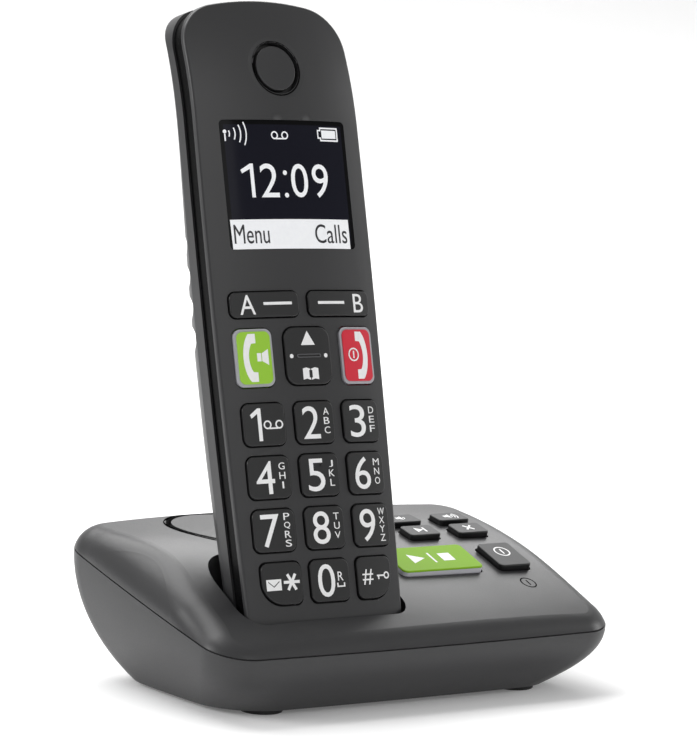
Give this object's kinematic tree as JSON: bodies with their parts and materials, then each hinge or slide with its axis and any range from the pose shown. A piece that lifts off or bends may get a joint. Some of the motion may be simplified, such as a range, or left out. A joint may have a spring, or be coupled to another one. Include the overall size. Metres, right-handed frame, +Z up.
{
  "type": "cordless telephone with base",
  "caption": "Cordless handset with large keys and display, standing in the cradle well of a desk base with answering-machine keys and a round loudspeaker disc.",
  "frame": {"origin": "on the desk, under the middle of the base", "axes": "+Z up, +X to the right across the handset, the front faces -Y"},
  "size_m": [0.1284, 0.0804, 0.1773],
  "materials": {
    "housing": "fine satin texture, anthracite",
    "band": "polished black",
    "key": "satin near-black with printed legends",
    "call_green": "satin green",
    "end_red": "satin red",
    "key_rim": "frosted translucent grey",
    "window": "clear display window",
    "screen": "backlit display",
    "board": "solder mask",
    "silicone": "moulded silicone",
    "speaker": "black moulding",
    "cell": "shrink sleeve",
    "spring_steel": "nickel plated",
    "contact": "gold flash",
    "screw": "blackened steel",
    "socket": "black moulding",
    "foot": "soft rubber"
  },
  "bodies": {
    "base": {"base_top_housing": "housing", "base_bottom_housing": "housing", "speaker_disc": "housing", "base_speaker": "speaker", "base_board": "board", "base_key_mat": "silicone", "line_socket": "socket", "power_socket": "socket", "rubber_feet": "foot", "base_screws": "screw"},
    "handset": {"handset_front_shell": "housing", "handset_rear_shell": "housing", "side_band": "band", "display_window": "window", "lcd_module": "screen", "handset_board": "board", "keypad_mat": "silicone", "earpiece_disc": "housing", "earpiece_receiver": "speaker", "handsfree_speaker": "speaker", "microphone": "speaker", "battery_cell_left": "cell", "battery_cell_right": "cell", "battery_springs": "spring_steel", "battery_contacts": "spring_steel", "charge_contacts": "contact", "handset_screws": "screw"},
    "battery_door": {"battery_door": "housing"},
    "charge_pin_left": {"charge_pin_left": "contact"},
    "charge_pin_right": {"charge_pin_right": "contact"},
    "nav_key": {"nav_key": "key"},
    "key_1": {"key_1": "key"},
    "key_2": {"key_2": "key"},
    "key_3": {"key_3": "key"},
    "key_4": {"key_4": "key"},
    "key_5": {"key_5": "key"},
    "key_6": {"key_6": "key"},
    "key_7": {"key_7": "key"},
    "key_8": {"key_8": "key"},
    "key_9": {"key_9": "key"},
    "key_star": {"key_star": "key"},
    "key_0": {"key_0": "key"},
    "key_hash": {"key_hash": "key"},
    "soft_key_a": {"soft_key_a": "key"},
    "soft_key_b": {"soft_key_b": "key"},
    "talk_key": {"talk_key": "call_green", "talk_key_rim": "key_rim"},
    "end_key": {"end_key": "end_red", "end_key_rim": "key_rim"},
    "volume_down_key": {"volume_down_key": "key"},
    "volume_up_key": {"volume_up_key": "key"},
    "previous_key": {"previous_key": "key"},
    "next_key": {"next_key": "key"},
    "delete_key": {"delete_key": "key"},
    "power_key": {"power_key": "key"},
    "play_stop_key": {"play_stop_key": "call_green", "play_stop_key_rim": "key_rim"}
  },
  "joints": [
    {"name": "handset_lift", "type": "slide", "parent": "base", "child": "handset", "axis": [0, 0.2531, 0.9674], "range_m": [0, 0.06]},
    {"name": "key_1_press", "type": "slide", "parent": "handset", "child": "key_1", "axis": [0, 0.9674, -0.2531], "range_m": [0, 0.0006], "stiffness_N_per_m": 1500},
    {"name": "key_2_press", "type": "slide", "parent": "handset", "child": "key_2", "axis": [0, 0.9674, -0.2531], "range_m": [0, 0.0006], "stiffness_N_per_m": 1500},
    {"name": "key_3_press", "type": "slide", "parent": "handset", "child": "key_3", "axis": [0, 0.9674, -0.2531], "range_m": [0, 0.0006], "stiffness_N_per_m": 1500},
    {"name": "key_4_press", "type": "slide", "parent": "handset", "child": "key_4", "axis": [0, 0.9674, -0.2531], "range_m": [0, 0.0006], "stiffness_N_per_m": 1500},
    {"name": "key_5_press", "type": "slide", "parent": "handset", "child": "key_5", "axis": [0, 0.9674, -0.2531], "range_m": [0, 0.0006], "stiffness_N_per_m": 1500},
    {"name": "key_6_press", "type": "slide", "parent": "handset", "child": "key_6", "axis": [0, 0.9674, -0.2531], "range_m": [0, 0.0006], "stiffness_N_per_m": 1500},
    {"name": "key_7_press", "type": "slide", "parent": "handset", "child": "key_7", "axis": [0, 0.9674, -0.2531], "range_m": [0, 0.0006], "stiffness_N_per_m": 1500},
    {"name": "key_8_press", "type": "slide", "parent": "handset", "child": "key_8", "axis": [0, 0.9674, -0.2531], "range_m": [0, 0.0006], "stiffness_N_per_m": 1500},
    {"name": "key_9_press", "type": "slide", "parent": "handset", "child": "key_9", "axis": [0, 0.9674, -0.2531], "range_m": [0, 0.0006], "stiffness_N_per_m": 1500},
    {"name": "key_star_press", "type": "slide", "parent": "handset", "child": "key_star", "axis": [0, 0.9674, -0.2531], "range_m": [0, 0.0006], "stiffness_N_per_m": 1500},
    {"name": "key_0_press", "type": "slide", "parent": "handset", "child": "key_0", "axis": [0, 0.9674, -0.2531], "range_m": [0, 0.0006], "stiffness_N_per_m": 1500},
    {"name": "key_hash_press", "type": "slide", "parent": "handset", "child": "key_hash", "axis": [0, 0.9674, -0.2531], "range_m": [0, 0.0006], "stiffness_N_per_m": 1500},
    {"name": "soft_key_a_press", "type": "slide", "parent": "handset", "child": "soft_key_a", "axis": [0, 0.9674, -0.2531], "range_m": [0, 0.0006], "stiffness_N_per_m": 1500},
    {"name": "soft_key_b_press", "type": "slide", "parent": "handset", "child": "soft_key_b", "axis": [0, 0.9674, -0.2531], "range_m": [0, 0.0006], "stiffness_N_per_m": 1500},
    {"name": "talk_key_press", "type": "slide", "parent": "handset", "child": "talk_key", "axis": [0, 0.9674, -0.2531], "range_m": [0, 0.0006], "stiffness_N_per_m": 1500},
    {"name": "end_key_press", "type": "slide", "parent": "handset", "child": "end_key", "axis": [0, 0.9674, -0.2531], "range_m": [0, 0.0006], "stiffness_N_per_m": 1500},
    {"name": "nav_key_rock", "type": "hinge", "parent": "handset", "child": "nav_key", "pos_m": [-0.025, -0.00974, 0.08758], "axis": [1, 0, 0], "range_deg": [-2.5, 2.5], "stiffness_Nm_per_rad": 0.25},
    {"name": "volume_down_key_press", "type": "slide", "parent": "base", "child": "volume_down_key", "axis": [0, 0.165, -0.9863], "range_m": [0, 0.0008], "stiffness_N_per_m": 1200},
    {"name": "volume_up_key_press", "type": "slide", "parent": "base", "child": "volume_up_key", "axis": [0, 0.165, -0.9863], "range_m": [0, 0.0008], "stiffness_N_per_m": 1200},
    {"name": "previous_key_press", "type": "slide", "parent": "base", "child": "previous_key", "axis": [0, 0.2419, -0.9703], "range_m": [0, 0.0008], "stiffness_N_per_m": 1200},
    {"name": "next_key_press", "type": "slide", "parent": "base", "child": "next_key", "axis": [0, 0.2419, -0.9703], "range_m": [0, 0.0008], "stiffness_N_per_m": 1200},
    {"name": "delete_key_press", "type": "slide", "parent": "base", "child": "delete_key", "axis": [0, 0.2419, -0.9703], "range_m": [0, 0.0008], "stiffness_N_per_m": 1200},
    {"name": "power_key_press", "type": "slide", "parent": "base", "child": "power_key", "axis": [0, 0.3338, -0.9426], "range_m": [0, 0.0008], "stiffness_N_per_m": 1200},
    {"name": "play_stop_key_press", "type": "slide", "parent": "base", "child": "play_stop_key", "axis": [0, 0.3338, -0.9426], "range_m": [0, 0.0008], "stiffness_N_per_m": 1200},
    {"name": "battery_door_off", "type": "slide", "parent": "handset", "child": "battery_door", "axis": [0, 0.9674, -0.2531], "range_m": [0, 0.02]},
    {"name": "charge_pin_left_press", "type": "slide", "parent": "base", "child": "charge_pin_left", "axis": [0, -0.2531, -0.9674], "range_m": [0, 0.0008], "stiffness_N_per_m": 600},
    {"name": "charge_pin_right_press", "type": "slide", "parent": "base", "child": "charge_pin_right", "axis": [0, -0.2531, -0.9674], "range_m": [0, 0.0008], "stiffness_N_per_m": 600}
  ]
}
